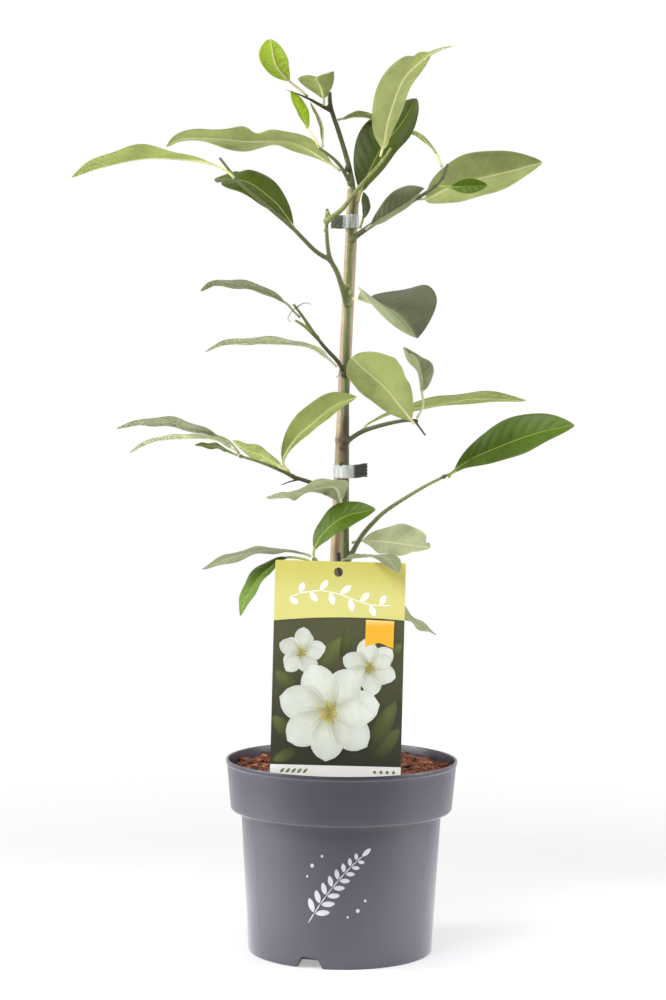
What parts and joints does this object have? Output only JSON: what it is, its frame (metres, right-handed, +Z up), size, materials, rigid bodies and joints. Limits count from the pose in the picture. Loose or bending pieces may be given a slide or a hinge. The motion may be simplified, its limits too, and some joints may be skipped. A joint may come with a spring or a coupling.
{
  "type": "potted michelia",
  "caption": "Young evergreen shrub tied to a bamboo cane in a round nursery pot, with long oval leaves and a tall card label pushed into the soil.",
  "frame": {"origin": "centre of the pot's foot, on the surface that it stands on", "axes": "+Z up along the pot's axis, -Y towards the label and the viewer, +X to the viewer's right"},
  "size_m": [0.4052, 0.1906, 0.7422],
  "materials": {
    "pot_plastic": "satin dark violet-grey moulded plastic",
    "coir_soil": "rough red-brown coir and bark fibre",
    "bamboo": "smooth dry tan cane",
    "stem_bark": "green to red-brown young bark",
    "label_card": "printed glossy card",
    "tie_tape": "thin translucent tape",
    "leaf_dark": "leathery leaf, glossy above, paler below",
    "leaf_pale": "leathery leaf, glossy above, paler below",
    "leaf_sunlit": "leathery leaf, glossy above, paler below",
    "leaf_young": "leathery leaf, glossy above, paler below"
  },
  "bodies": {
    "root": {"pot": "pot_plastic", "soil": "coir_soil", "bamboo_cane": "bamboo", "main_stem": "stem_bark", "tie_upper": "tie_tape", "tie_lower": "tie_tape", "plant_label": "label_card", "leaf_crown_round": "leaf_young", "leaf_crown_slim": "leaf_young", "leaf_crown_heart": "leaf_pale", "leaf_crown_sickle": "leaf_pale", "leaf_high_left": "leaf_pale", "leaf_far_left": "leaf_pale", "leaf_left_dark": "leaf_dark", "leaf_top_pale": "leaf_pale", "leaf_top_dark": "leaf_dark", "leaf_top_hidden": "leaf_pale", "leaf_hub_thin": "leaf_pale", "leaf_right_broad": "leaf_pale", "leaf_right_folded": "leaf_pale", "leaf_right_glossy": "leaf_sunlit", "leaf_stem_small": "leaf_dark", "leaf_mid_left_arched": "leaf_pale", "leaf_mid_left_flat": "leaf_pale", "leaf_mid_right_drooping": "leaf_dark", "leaf_centre_pale": "leaf_pale", "leaf_centre_upright": "leaf_pale", "leaf_centre_long": "leaf_pale", "leaf_right_sunlit": "leaf_sunlit", "leaf_left_rising": "leaf_sunlit", "leaf_low_left_outer": "leaf_pale", "leaf_low_left_thin": "leaf_pale", "leaf_low_left_tip": "leaf_pale", "leaf_low_left_inner": "leaf_sunlit", "leaf_low_twisted": "leaf_pale", "leaf_low_bright": "leaf_sunlit", "leaf_low_left_long": "leaf_dark", "leaf_low_left_hanging": "leaf_sunlit", "leaf_low_right_pale": "leaf_pale", "leaf_over_label": "leaf_pale", "leaf_behind_label": "leaf_dark"}
  },
  "joints": []
}
